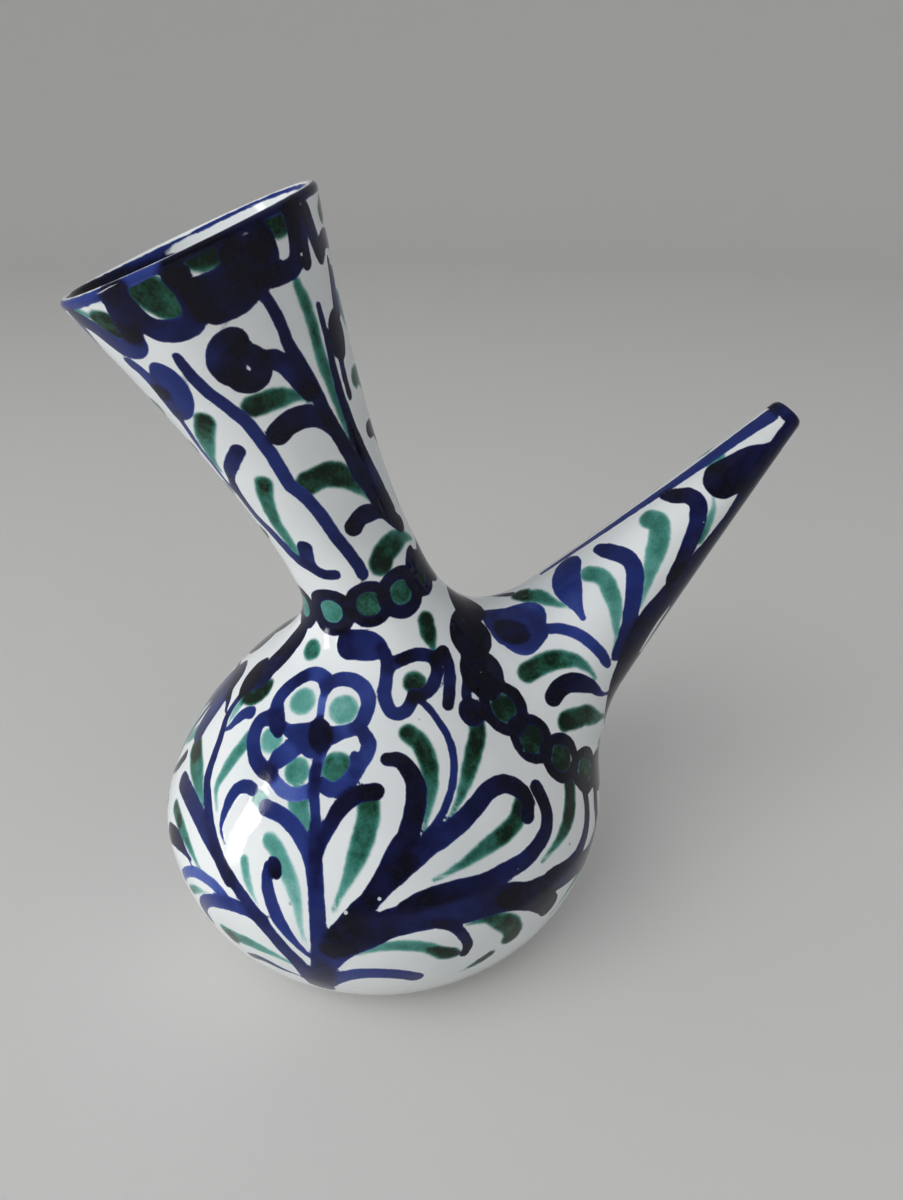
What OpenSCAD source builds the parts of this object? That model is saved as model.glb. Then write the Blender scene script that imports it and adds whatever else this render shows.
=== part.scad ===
// Porron: a thrown belly with a flared filling neck and a tapered pouring spout luted on.
// Sizes are in millimetres. +Z is up, the base stands on z = 0 and the belly's axis is x = y = 0.
// The neck leans to -X and the spout to +X, and y = 0 is the plane of symmetry.

/* [Belly] */
// Radius of the belly at its widest
belly_r = 60; // [48:0.5:75]
// Height of the widest place above the table
belly_mid_z = 37.5; // [30:0.5:48]
// Rise of the shoulder from the widest place to where it would close
shoulder_h = 58.8; // [48:0.2:72]
// Fullness of the shoulder, where 1 is a cone and 2 is a quarter ellipse
shoulder_power = 1.46; // [1.3:0.01:2]
// Radius of the flat that stands on the table
base_r = 31; // [22:0.5:40]
// Thickness of the belly's wall
belly_wall = 4.5; // [3:0.1:6]
// Thickness of the base
base_wall = 6; // [4:0.5:9]

/* [Neck] */
// Lean of the neck away from upright, in degrees
neck_lean = 22.3; // [14:0.1:28]
// Depth below the shoulder's closing height where the neck's axis crosses the belly's axis
neck_drop = 3; // [0:0.5:8]
// Distance along the axis from that crossing to the narrowest place
neck_waist_at = 21.6; // [14:0.2:30]
// Distance along the axis from that crossing to the mouth
neck_length = 94.2; // [70:0.1:120]
// Outer radius at the narrowest place
neck_waist_r = 15.6; // [12:0.1:20]
// Outer radius at the mouth
mouth_r = 28.9; // [22:0.1:36]
// How late the neck flares, where 1 is a cone
neck_flare = 1.45; // [1:0.05:2.2]
// Thickness of the neck's wall
neck_wall = 3.6; // [2.5:0.1:5]
// Thickness of the neck's wall at the lip
lip_wall = 2.2; // [1.8:0.1:3]

/* [Spout] */
// Lean of the spout away from upright, in degrees
spout_lean = 43.2; // [36:0.1:52]
// Depth below the widest place where the spout's axis crosses the belly's axis
spout_drop = 15.1; // [8:0.1:22]
// Length along the axis outside the belly
spout_length = 94; // [70:0.5:120]
// Straight length outside the belly before the spout narrows
spout_shank = 2; // [0:0.5:6]
// Outer radius at the root
spout_root_r = 21.9; // [16:0.1:24]
// Outer radius at the tip
spout_tip_r = 4.2; // [3.6:0.1:6]
// How early the spout narrows, where 1 is a cone and less is hollow-sided
spout_taper = 0.9; // [0.7:0.02:1.2]
// Thickness of the spout's wall
spout_wall = 3.6; // [2.5:0.1:5]
// Radius of the outlet at the tip
outlet_r = 2.1; // [1.4:0.1:2.4]

/* [Joints] */
// How far the neck's blank runs down past its lowest seat before it is trimmed to the belly
neck_trim = 12; // [8:0.5:16]
// How far the spout's blank runs down past the belly before it is trimmed to it
spout_trim = 18; // [14:0.5:24]
// How much smaller the hole under the neck is than the neck's inside
neck_hole_margin = 1; // [0.5:0.1:3]
// How much smaller the hole under the spout is than the spout's inside
spout_hole_margin = 5; // [2:0.1:7]
// Softness of the luting clay round the neck
neck_blend = 13; // [9:0.5:16]
// Softness of the luting clay round the spout
spout_blend = 17; // [12:0.5:20]
// Thickness left at a collar's outer edge
collar_edge = 0.3; // [0.25:0.05:0.6]
// Slip between a collar and the walls it joins
slip_gap = 0.1; // [0.06:0.01:0.2]

/* [Hidden] */
$fn = 96;
profile_steps = 26;
lip_steps = 8;
ring_steps = 60;
path_steps = 4;
foot_power = 2;
shoulder_top = belly_mid_z + shoulder_h;
glaze_white = [0.93, 0.94, 0.93];
luting_blue = [0.25, 0.34, 0.68];

neck_root = [0, 0, shoulder_top - neck_drop];
neck_axis = [-sin(neck_lean), 0, cos(neck_lean)];
neck_side = [cos(neck_lean), 0, sin(neck_lean)];
neck_low = -neck_waist_r*tan(neck_lean) - neck_trim;

spout_root = [0, 0, belly_mid_z - spout_drop];
spout_axis = [sin(spout_lean), 0, cos(spout_lean)];
spout_side = [-cos(spout_lean), 0, sin(spout_lean)];

// Solves f = 0 where f rises from lo to hi
function find(f, lo, hi, n = 22) =
    let (mid = (lo + hi)/2)
    n == 0 ? mid : f(mid) > 0 ? find(f, lo, mid, n - 1) : find(f, mid, hi, n - 1);
function clamp(v, lo, hi) = min(max(v, lo), hi);
function unit(v) = v/norm(v);
function smooth_min(a, b, k) =
    let (h = clamp(0.5 + 0.5*(b - a)/k, 0, 1))
    b*(1 - h) + a*h - k*h*(1 - h);

// Outer radius of the belly at a height, drawn in by an inset
function belly_at(z, inset, floor) =
    z < belly_mid_z
    ? let (t = (belly_mid_z - z)/(belly_mid_z - floor))
        base_r - inset + (belly_r - base_r)*pow(max(1 - pow(t, foot_power), 0), 1/foot_power)
    : let (t = (z - belly_mid_z)/(shoulder_h - inset))
        (belly_r - inset)*pow(max(1 - pow(t, shoulder_power), 0), 1/shoulder_power);

// Distance of a point outside the belly
function belly_gap(p) =
    let (
        low = p.z < belly_mid_z,
        off = low ? base_r : 0,
        a = low ? belly_r - base_r : belly_r,
        h = low ? belly_mid_z : shoulder_h,
        n = low ? foot_power : shoulder_power,
        x = max((norm([p.x, p.y]) - off)/a, 0.0001),
        y = max(abs(p.z - belly_mid_z)/h, 0.0001),
        u = pow(pow(x, n) + pow(y, n), 1/n),
        slope = [pow(x/u, n - 1)/a, pow(y/u, n - 1)/h]
    )
    (u - 1)/norm(slope);
function belly_normal(p) =
    let (e = slip_gap/2)
    unit([
        belly_gap(p + [e, 0, 0]) - belly_gap(p - [e, 0, 0]),
        belly_gap(p + [0, e, 0]) - belly_gap(p - [0, e, 0]),
        belly_gap(p + [0, 0, e]) - belly_gap(p - [0, 0, e])
    ]);

spout_exit = find(function (s) belly_gap(spout_root + s*spout_axis), 0, belly_r*2);
spout_root_at = spout_exit + spout_shank;
spout_end = spout_exit + spout_length;
spout_low = spout_exit - spout_trim;

// Outer radius of the neck and of the spout at a distance along the axis
function neck_out(s) =
    let (u = clamp((s - neck_waist_at)/(neck_length - neck_waist_at), 0, 1.2))
    neck_waist_r + (mouth_r - neck_waist_r)*pow(u, neck_flare);
function spout_out(s) =
    let (u = clamp((s - spout_root_at)/(spout_end - spout_root_at), 0, 1))
    spout_root_r + (spout_tip_r - spout_root_r)*pow(u, spout_taper);

// Distance of a point outside a tube
function neck_gap(p) =
    let (q = p - neck_root, s = q*neck_axis)
    norm(q - s*neck_axis) - neck_out(s);
function spout_gap(p) =
    let (q = p - spout_root, s = q*spout_axis)
    norm(q - s*spout_axis) - spout_out(s);

// The whole outer skin with its joints smoothed
function skin_gap(p) =
    smooth_min(smooth_min(belly_gap(p), spout_gap(p), spout_blend), neck_gap(p), neck_blend);

// Points of the turned profiles, as radius and distance along the axis
function belly_profile(inset, floor) = concat(
    [[0, floor], [base_r - inset, floor]],
    [for (i = [1 : profile_steps])
        let (t = 90*i/profile_steps, z = belly_mid_z - (belly_mid_z - floor)*cos(t))
        [belly_at(z, inset, floor), z]],
    [for (i = [1 : profile_steps])
        let (t = 90*i/profile_steps, z = belly_mid_z + (shoulder_h - inset)*sin(t))
        [i == profile_steps ? 0 : belly_at(z, inset, floor), z]]
);

neck_lip = lip_wall/2;
neck_lip_lean = atan((neck_out(neck_length) - neck_out(neck_length - 1)));
neck_top = neck_length - neck_lip*(1 + sin(neck_lip_lean));
function neck_thick(s) =
    neck_wall + (lip_wall - neck_wall)*clamp((s - neck_waist_at)/(neck_top - neck_waist_at), 0, 1);
function neck_slope(s) = atan((neck_out(s + 0.1) - neck_out(s - 0.1))/0.2);
function neck_profile() = concat(
    [for (i = [0 : profile_steps])
        let (s = neck_low + (neck_top - neck_low)*i/profile_steps)
        [neck_out(s), s]],
    [for (i = [1 : lip_steps - 1])
        let (t = 180*i/lip_steps - neck_lip_lean)
        [neck_out(neck_top) + neck_lip*(cos(t) - cos(neck_lip_lean)),
            neck_top + neck_lip*(sin(t) + sin(neck_lip_lean))]],
    [for (i = [profile_steps : -1 : 0])
        let (s = neck_low + (neck_top - neck_low)*i/profile_steps, l = neck_slope(s))
        [neck_out(s) - neck_thick(s)*cos(l), s + neck_thick(s)*sin(l)]]
);

spout_lip = (spout_tip_r - outlet_r)/2;
spout_top = spout_end - spout_lip;
function spout_profile() = concat(
    [for (i = [0 : profile_steps])
        let (s = spout_low + (spout_top - spout_low)*i/profile_steps)
        [spout_out(s), s]],
    [for (i = [1 : lip_steps - 1])
        let (t = 180*i/lip_steps)
        [outlet_r + spout_lip*(1 + cos(t)), spout_top + spout_lip*sin(t)]],
    [for (i = [profile_steps : -1 : 0])
        let (s = spout_low + (spout_top - spout_low)*i/profile_steps)
        [max(spout_out(s) - spout_wall, outlet_r), s]]
);

// A collar's path at one angle runs down the tube's wall and out along the belly
neck_reach = neck_blend - 2*sqrt(collar_edge*neck_blend);
spout_reach = spout_blend - 2*sqrt(collar_edge*spout_blend);
function ring_point(root, axis, side, s, r, a) =
    root + s*axis + r*(cos(a)*side + [0, sin(a), 0]);
function collar_section(root, axis, side, a, base_s, out, rest, rival, reach) =
    let (
        out_dir = cos(a)*side + [0, sin(a), 0],
        wall = function (s) ring_point(root, axis, side, s, out(s) + slip_gap, a),
        corner = find(function (s) belly_gap(wall(s)) - slip_gap, base_s - belly_r/2, base_s + belly_r/2),
        upper = find(function (s) rest(wall(s)) - reach, corner, corner + belly_r),
        seat = function (d)
            ring_point(root, axis, side,
                find(function (s) belly_gap(ring_point(root, axis, side, s, out(corner) + d, a)) - slip_gap,
                    base_s - belly_r, base_s + belly_r), out(corner) + d, a),
        spread = find(function (d) d - min(reach, rival(seat(d)) - 2*slip_gap), slip_gap, reach),
        up = belly_normal(seat(spread)),
        path = concat(
            [for (i = [0 : path_steps]) wall(upper + (corner - upper)*i/path_steps)],
            [for (i = [1 : path_steps]) seat(slip_gap + (spread - slip_gap)*i/path_steps)]),
        last = len(path) - 1,
        top = [for (i = [0 : last])
            let (dir = unit(out_dir*(1 - i/last) + up*i/last))
            path[i] + dir*find(function (h) skin_gap(path[i] + h*dir), 0, reach)]
    )
    concat(path, [for (i = [last : -1 : 0]) top[i]]);

module ring_solid(rows) {
    many = len(rows);
    wide = len(rows[0]);
    polyhedron(
        points = [for (row = rows) for (p = row) p],
        faces = [for (i = [0 : many - 1]) for (j = [0 : wide - 1])
            let (k = (i + 1) % many, m = (j + 1) % wide)
            each [[i*wide + j, i*wide + m, k*wide + m], [i*wide + j, k*wide + m, k*wide + j]]],
        convexity = 8);
}

module on_neck() translate(neck_root) rotate([0, -neck_lean, 0]) children();
module on_spout() translate(spout_root) rotate([0, spout_lean, 0]) children();
module belly_body() rotate_extrude() polygon(belly_profile(0, 0));

// The thrown belly with its base, and a hole cut under the neck and under the spout
module belly() color(glaze_white) difference() {
    belly_body();
    rotate_extrude() polygon(belly_profile(belly_wall, base_wall));
    on_neck() translate([0, 0, -belly_r/2])
        cylinder(r = neck_waist_r - neck_wall - neck_hole_margin, h = belly_r);
    on_spout() translate([0, 0, spout_exit - belly_r/2])
        cylinder(r = spout_root_r - spout_wall - spout_hole_margin, h = belly_r);
}

// The flared filling neck with its rounded lip
module neck() color(glaze_white) difference() {
    on_neck() rotate_extrude() polygon(neck_profile());
    belly_body();
}

// The tapered pouring spout with its narrow outlet
module spout() color(glaze_white) difference() {
    on_spout() rotate_extrude() polygon(spout_profile());
    belly_body();
}

// The coil of luting clay smoothed round the neck's root
module neck_collar() color(luting_blue)
    ring_solid([for (i = [0 : ring_steps - 1])
        collar_section(neck_root, neck_axis, neck_side, 360*i/ring_steps, 0,
            function (s) neck_out(s),
            function (p) smooth_min(belly_gap(p), spout_gap(p), spout_blend),
            function (p) spout_gap(p), neck_reach)]);

// The coil of luting clay smoothed round the spout's root
module spout_collar() color(luting_blue)
    ring_solid([for (i = [0 : ring_steps - 1])
        collar_section(spout_root, spout_axis, spout_side, -360*i/ring_steps, spout_exit,
            function (s) spout_out(s),
            function (p) min(belly_gap(p), neck_gap(p)),
            function (p) neck_gap(p), spout_reach)]);

belly();
neck();
spout();
neck_collar();
spout_collar();
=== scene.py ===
import math
from functools import partial

import bpy
import numpy as np
from mathutils import Matrix, Vector


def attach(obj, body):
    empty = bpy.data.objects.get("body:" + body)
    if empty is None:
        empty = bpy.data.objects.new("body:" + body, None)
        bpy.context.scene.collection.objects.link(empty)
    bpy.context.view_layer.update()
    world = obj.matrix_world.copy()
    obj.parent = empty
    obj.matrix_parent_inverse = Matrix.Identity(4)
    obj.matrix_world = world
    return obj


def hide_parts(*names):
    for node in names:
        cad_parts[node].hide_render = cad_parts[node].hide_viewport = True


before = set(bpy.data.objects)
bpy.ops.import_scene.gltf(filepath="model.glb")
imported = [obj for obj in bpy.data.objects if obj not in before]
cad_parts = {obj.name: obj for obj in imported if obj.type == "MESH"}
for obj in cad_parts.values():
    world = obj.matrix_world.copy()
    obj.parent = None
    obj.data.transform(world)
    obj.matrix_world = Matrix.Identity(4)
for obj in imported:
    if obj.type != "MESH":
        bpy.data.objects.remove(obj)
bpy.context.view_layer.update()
print("frame loaded")

mm = 0.001  # all sizes below are in millimetres
mergeGap = 0.004  # points closer than this become one

belly = {
    "radius": 60.0,
    "midHeight": 37.5,
    "shoulderRise": 58.8,
    "shoulderPower": 1.46,  # 1 is a cone, 2 a quarter ellipse
    "baseRadius": 31.0,
    "footPower": 2.0,
    "wall": 4.5,
    "floor": 6.0,
    "turnSteps": 420,
    "rowGap": 0.88,
    "outlineSteps": 400,
    "chartGap": 0.2,  # between rows of the chart that the brush follows
    "insideRowGap": 4.0,
    "insideSteps": 120,
    "baseRings": 8,
}
neck = {
    "lean": -22.3,
    "rootHeight": 93.3,
    "low": -18.4,  # where the blank starts, inside the belly
    "waistAt": 21.6,
    "length": 94.2,
    "waistRadius": 15.6,
    "mouthRadius": 28.9,
    "flare": 1.45,
    "wall": 3.6,
    "lipWall": 2.2,
    "holeRadius": 11.0,
    "blend": 13.0,
    "turnSteps": 250,
    "rowGap": 0.8,
    "insideRowGap": 1.6,
    "lipRows": 13,
    "mouthInset": 2.53,  # how deep the brush runs inside the lip
}
spout = {
    "lean": 43.2,
    "rootHeight": 22.4,
    "reach": 94.0,  # length outside the belly
    "shank": 2.0,  # straight length before it narrows
    "trim": 18.0,  # how far the blank starts inside the belly
    "rootRadius": 21.9,
    "tipRadius": 4.2,
    "taper": 0.9,
    "wall": 3.6,
    "outletRadius": 2.1,
    "holeRadius": 13.3,
    "blend": 17.0,
    "turnSteps": 200,
    "rowGap": 0.75,
    "insideRowGap": 2.0,
    "lipRows": 11,
}


def unit(v):
    return v / np.linalg.norm(v, axis=-1, keepdims=True)


# A leaning tube has its own axis, and two sides across it
def leaning(tube):
    lean = math.radians(tube["lean"])
    tube["root"] = np.array((0.0, 0.0, tube["rootHeight"]))
    tube["axis"] = np.array((math.sin(lean), 0.0, math.cos(lean)))
    tube["side"] = np.array((math.cos(lean), 0.0, -math.sin(lean)))
    tube["front"] = np.array((0.0, -1.0, 0.0))


leaning(neck)
leaning(spout)


def neckOuter(s):
    late = np.clip((s - neck["waistAt"]) / (neck["length"] - neck["waistAt"]), 0, 1.2)
    return neck["waistRadius"] + (neck["mouthRadius"] - neck["waistRadius"]) * late ** neck["flare"]


def spoutOuter(s):
    along = np.clip((s - spout["taperAt"]) / (spout["length"] - spout["taperAt"]), 0, 1)
    return spout["rootRadius"] + (spout["tipRadius"] - spout["rootRadius"]) * along ** spout["taper"]


neck["outer"] = neckOuter
spout["outer"] = spoutOuter


# Solves gap(x) = 0 for many places at once, where gap rises from low to high
def solve(gap, low, high, rounds=26):
    low, high = np.broadcast_arrays(np.asarray(low, float), np.asarray(high, float))
    low, high = low.copy(), high.copy()
    for again in range(rounds):
        mid = (low + high) / 2
        over = gap(mid) > 0
        high = np.where(over, mid, high)
        low = np.where(over, low, mid)
    return (low + high) / 2


# Turned outline of the belly, drawn in by a wall
def bellyOutline(inset, floor, gap):
    quarter = np.linspace(0, math.pi / 2, belly["outlineSteps"])
    lowZ = belly["midHeight"] - (belly["midHeight"] - floor) * np.cos(quarter)
    lowR = belly["baseRadius"] - inset + (belly["radius"] - belly["baseRadius"]) * np.sin(quarter)
    rise = belly["shoulderRise"] - inset
    highZ = belly["midHeight"] + rise * np.sin(quarter[1:])
    left = np.maximum(1 - np.sin(quarter[1:]) ** belly["shoulderPower"], 0)
    highR = (belly["radius"] - inset) * left ** (1 / belly["shoulderPower"])
    r = np.concatenate((lowR, highR))
    z = np.concatenate((lowZ, highZ))
    r[-1] = 0
    length = np.concatenate(([0], np.cumsum(np.hypot(np.diff(r), np.diff(z)))))
    rows = np.linspace(0, length[-1], int(length[-1] / gap))
    return np.interp(rows, length, r), np.interp(rows, length, z), rows


outlineR, outlineZ, outlineRow = bellyOutline(0, 0, belly["chartGap"])


# How far points lie outside the belly, a tube, and the whole skin with its joints smoothed
def bellyGap(p):
    low = p[..., 2] < belly["midHeight"]
    inner = np.where(low, belly["baseRadius"], 0)
    wide = belly["radius"] - inner
    tall = np.where(low, belly["midHeight"], belly["shoulderRise"])
    power = np.where(low, belly["footPower"], belly["shoulderPower"])
    x = np.maximum((np.hypot(p[..., 0], p[..., 1]) - inner) / wide, 1e-4)
    y = np.maximum(np.abs(p[..., 2] - belly["midHeight"]) / tall, 1e-4)
    u = (x ** power + y ** power) ** (1 / power)
    slope = np.hypot((x / u) ** (power - 1) / wide, (y / u) ** (power - 1) / tall)
    return (u - 1) / slope


def tubeGap(p, tube):
    q = p - tube["root"]
    s = q @ tube["axis"]
    return np.linalg.norm(q - s[..., None] * tube["axis"], axis=-1) - tube["outer"](s)


def smoothMin(a, b, k):
    h = np.clip(0.5 + 0.5 * (b - a) / k, 0, 1)
    return b * (1 - h) + a * h - k * h * (1 - h)


def skinGap(p):
    joined = smoothMin(bellyGap(p), tubeGap(p, spout), spout["blend"])
    return smoothMin(joined, tubeGap(p, neck), neck["blend"])


def slopeOf(gap, p, step=0.05):
    sides = [gap(p + move) - gap(p - move) for move in np.eye(3) * step]
    return np.stack(sides, -1) / (2 * step)


def ontoSkin(p, rounds=8):
    for again in range(rounds):
        slope = slopeOf(skinGap, p)
        p = p - (skinGap(p) / np.maximum((slope ** 2).sum(-1), 0.05))[..., None] * slope
    return p


# Where the spout's axis leaves the belly sets all the spout's places
def alongSpout(s):
    return bellyGap(spout["root"] + s * spout["axis"])


spout["exitAt"] = float(solve(alongSpout, 0, 2 * belly["radius"]))
spout["taperAt"] = spout["exitAt"] + spout["shank"]
spout["length"] = spout["exitAt"] + spout["reach"]
spout["low"] = spout["exitAt"] - spout["trim"]


def deselectAll():
    bpy.ops.object.select_all(action="DESELECT")


# Draws an outline point by point and spins it into a turned form
def turnedForm(name, outline, steps):
    deselectAll()
    bpy.ops.mesh.primitive_plane_add(size=mm)
    form = bpy.context.object
    form.name = name
    bpy.ops.object.mode_set(mode="EDIT")
    bpy.ops.mesh.select_mode(type="VERT")
    bpy.ops.mesh.merge(type="CENTER")
    places = [Vector((r, 0, z)) * mm for r, z in outline]
    bpy.ops.transform.translate(value=places[0])
    for here, there in zip(places, places[1:]):
        bpy.ops.mesh.extrude_region_move(TRANSFORM_OT_translate={"value": there - here})
    bpy.ops.mesh.select_all(action="SELECT")
    bpy.ops.mesh.spin(steps=steps, angle=2 * math.pi, center=(0, 0, 0), axis=(0, 0, 1))
    bpy.ops.mesh.select_all(action="SELECT")
    bpy.ops.mesh.remove_doubles(threshold=mergeGap * mm)
    bpy.ops.mesh.normals_make_consistent(inside=False)
    bpy.ops.object.mode_set(mode="OBJECT")
    return form


# Tips a form to its tube's lean and sets it on the tube's root
def setOnTube(form, tube):
    deselectAll()
    form.select_set(True)
    bpy.context.view_layer.objects.active = form
    form.rotation_euler = (0, math.radians(tube["lean"]), 0)
    form.location = Vector(tube["root"]) * mm
    bpy.ops.object.transform_apply(location=True, rotation=True, scale=True)


def cutAway(form, cutter):
    cut = form.modifiers.new("cut", "BOOLEAN")
    cut.operation = "DIFFERENCE"
    cut.solver = "MANIFOLD"
    cut.object = cutter
    deselectAll()
    form.select_set(True)
    bpy.context.view_layer.objects.active = form
    bpy.ops.object.modifier_apply(modifier=cut.name)


def throwAway(form):
    bpy.data.objects.remove(form, do_unlink=True)


def smoothOff(form, angle):
    deselectAll()
    form.select_set(True)
    bpy.context.view_layer.objects.active = form
    bpy.ops.object.shade_smooth_by_angle(angle=math.radians(angle))


# A round cutter on a tube's axis, for the holes in the belly
def reamer(tube, at, radius, depth, sides=96):
    deselectAll()
    bpy.ops.mesh.primitive_cylinder_add(
        vertices=sides, radius=radius * mm, depth=depth * mm, location=(0, 0, at * mm)
    )
    bpy.ops.object.transform_apply(location=True, rotation=True, scale=True)
    cutter = bpy.context.object
    setOnTube(cutter, tube)
    return cutter


# Belly: a thrown body, hollowed, with a hole under the neck and one under the spout
def throwBelly():
    r, z = bellyOutline(0, 0, belly["rowGap"])[:2]
    base = [(x, 0) for x in np.linspace(0, belly["baseRadius"], belly["baseRings"])[:-1]]
    body = turnedForm("bellyShell", base + list(zip(r, z)), belly["turnSteps"])
    r, z = bellyOutline(belly["wall"], belly["floor"], belly["insideRowGap"])[:2]
    hollow = turnedForm("bellyHollow", [(0, belly["floor"])] + list(zip(r, z)), belly["insideSteps"])
    blank = body.copy()
    blank.data = body.data.copy()
    blank.name = "bellyBlank"
    bpy.context.collection.objects.link(blank)
    neckHole = reamer(neck, 0, neck["holeRadius"], belly["radius"])
    spoutHole = reamer(spout, spout["exitAt"], spout["holeRadius"], belly["radius"])
    for cutter in (hollow, neckHole, spoutHole):
        cutAway(body, cutter)
        throwAway(cutter)
    return body, blank


# The neck's wall thins from the waist to the lip
def neckThick(s, top):
    late = np.clip((s - neck["waistAt"]) / (top - neck["waistAt"]), 0, 1)
    return neck["wall"] + (neck["lipWall"] - neck["wall"]) * late


# Neck: a flared tube with a rounded lip, trimmed to the belly
def throwNeck(blank):
    half = neck["lipWall"] / 2
    lipLean = math.atan(neckOuter(neck["length"]) - neckOuter(neck["length"] - 1))
    top = neck["length"] - half * (1 + math.sin(lipLean))
    rows = np.linspace(neck["low"], top, int((top - neck["low"]) / neck["rowGap"]))
    outside = [(neckOuter(s), s) for s in rows]
    lip = []
    for turn in np.linspace(0, math.pi, neck["lipRows"])[1:-1]:
        t = turn - lipLean
        r = neckOuter(top) + half * (math.cos(t) - math.cos(lipLean))
        lip.append((r, top + half * (math.sin(t) + math.sin(lipLean))))
    inside = []
    for s in np.linspace(top, neck["low"], int((top - neck["low"]) / neck["insideRowGap"])):
        slope = math.atan((neckOuter(s + 0.1) - neckOuter(s - 0.1)) / 0.2)
        thick = neckThick(s, top)
        inside.append((neckOuter(s) - thick * math.cos(slope), s + thick * math.sin(slope)))
    form = turnedForm("neckShell", outside + lip + inside + outside[:1], neck["turnSteps"])
    setOnTube(form, neck)
    cutAway(form, blank)
    return form


# Spout: a tapered tube with a narrow outlet, trimmed to the belly
def rollSpout(blank):
    half = (spout["tipRadius"] - spout["outletRadius"]) / 2
    top = spout["length"] - half
    rows = np.linspace(spout["low"], top, int((top - spout["low"]) / spout["rowGap"]))
    outside = [(spoutOuter(s), s) for s in rows]
    lip = []
    for turn in np.linspace(0, math.pi, spout["lipRows"])[1:-1]:
        lip.append((spout["outletRadius"] + half * (1 + math.cos(turn)), top + half * math.sin(turn)))
    inside = []
    for s in np.linspace(top, spout["low"], int((top - spout["low"]) / spout["insideRowGap"])):
        inside.append((max(spoutOuter(s) - spout["wall"], spout["outletRadius"]), s))
    form = turnedForm("spoutShell", outside + lip + inside + outside[:1], spout["turnSteps"])
    setOnTube(form, spout)
    cutAway(form, blank)
    return form


# Collars: a coil of clay laid round a tube's root and smoothed into the skin
collar = {
    "edge": 0.02,  # thickness left at the feathered edges
    "slip": 0.01,
    "rows": 20,
    "neckSteps": 230,
    "spoutSteps": 256,  # the most that a torus takes
    "nearby": 30.0,  # how far the coil looks for its seats
    "further": 60.0,
}


def lutingCoil(name, tube, startAt, other, rest, steps):
    slip = collar["slip"]
    reach = tube["blend"] - 2 * math.sqrt(collar["edge"] * tube["blend"])
    turn = np.linspace(0, 2 * math.pi, steps, endpoint=False)
    outward = np.sin(turn)[:, None] * tube["side"] + np.cos(turn)[:, None] * tube["front"]

    def place(s, r):
        return tube["root"] + s[..., None] * tube["axis"] + r[..., None] * outward

    def onWall(s):
        return place(s, tube["outer"](s) + slip)

    still = np.full(steps, float(startAt))
    nearby, further = collar["nearby"], collar["further"]
    corner = solve(lambda s: bellyGap(onWall(s)) - slip, still - nearby, still + nearby)
    upper = solve(lambda s: rest(onWall(s)) - reach, corner, corner + further)

    def onSeat(d):
        r = tube["outer"](corner) + d
        return place(solve(lambda s: bellyGap(place(s, r)) - slip, still - further, still + further), r)

    def overRun(d):
        return d - np.minimum(reach, tubeGap(onSeat(d), other) - slip)

    spread = solve(overRun, np.full(steps, slip), np.full(steps, reach))
    up = unit(slopeOf(bellyGap, onSeat(spread)))
    rows = collar["rows"]
    path = [onWall(upper + (corner - upper) * i / rows) for i in range(rows + 1)]
    path += [onSeat(slip + (spread - slip) * i / rows) for i in range(1, rows + 1)]
    crest = []
    for i, under in enumerate(path):
        share = i / (len(path) - 1)
        rise = unit(outward * (1 - share) + up * share)
        height = solve(lambda h: skinGap(under + h[:, None] * rise), np.zeros(steps), np.full(steps, reach))
        crest.append(under + height[:, None] * rise)
    ring = np.stack(path + crest[::-1], 1)
    deselectAll()
    bpy.ops.mesh.primitive_torus_add(
        major_segments=steps,
        minor_segments=ring.shape[1],
        major_radius=tube["outer"](0.0) * mm,
        minor_radius=reach * mm / 2,
    )
    coil = bpy.context.object
    coil.name = name
    coil.data.vertices.foreach_set("co", (ring * mm).ravel())  # the coil is pressed to the skin
    coil.data.update()
    bpy.ops.object.mode_set(mode="EDIT")
    bpy.ops.mesh.select_all(action="SELECT")
    bpy.ops.mesh.normals_make_consistent(inside=False)
    bpy.ops.object.mode_set(mode="OBJECT")
    return coil


bellyShell, bellyBlank = throwBelly()
print("belly thrown")
neckShell = throwNeck(bellyBlank)
spoutShell = rollSpout(bellyBlank)
throwAway(bellyBlank)
print("neck and spout trimmed")


def underNeck(p):
    return smoothMin(bellyGap(p), tubeGap(p, spout), spout["blend"])


def underSpout(p):
    return np.minimum(bellyGap(p), tubeGap(p, neck))


neckCollar = lutingCoil("neckCollar", neck, 0, spout, underNeck, collar["neckSteps"])
spoutCollar = lutingCoil("spoutCollar", spout, spout["exitAt"], neck, underSpout, collar["spoutSteps"])
print("collars pressed on")

pieces = {
    "belly": bellyShell,
    "neck": neckShell,
    "spout": spoutShell,
    "neck_collar": neckCollar,
    "spout_collar": spoutCollar,
}
edgeAngle = 40  # edges sharper than this stay crisp
for form in pieces.values():
    smoothOff(form, edgeAngle)


# Places on the surfaces, for the brush: the angle is 0 at the front and grows to the right
def onBelly(angle, row):
    a = np.radians(angle)
    r = np.interp(row, outlineRow, outlineR)
    return np.stack((r * np.sin(a), -r * np.cos(a), np.interp(row, outlineRow, outlineZ)), -1)


def onTube(tube, inset=0.0):
    def spot(angle, s):
        a = np.radians(angle)[..., None]
        outward = np.sin(a) * tube["side"] + np.cos(a) * tube["front"]
        return tube["root"] + s[..., None] * tube["axis"] + (tube["outer"](s) - inset)[..., None] * outward

    return spot


surfaces = {
    "belly": onBelly,
    "neck": onTube(neck),
    "mouth": onTube(neck, neck["mouthInset"]),
    "spout": onTube(spout),
}

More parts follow.
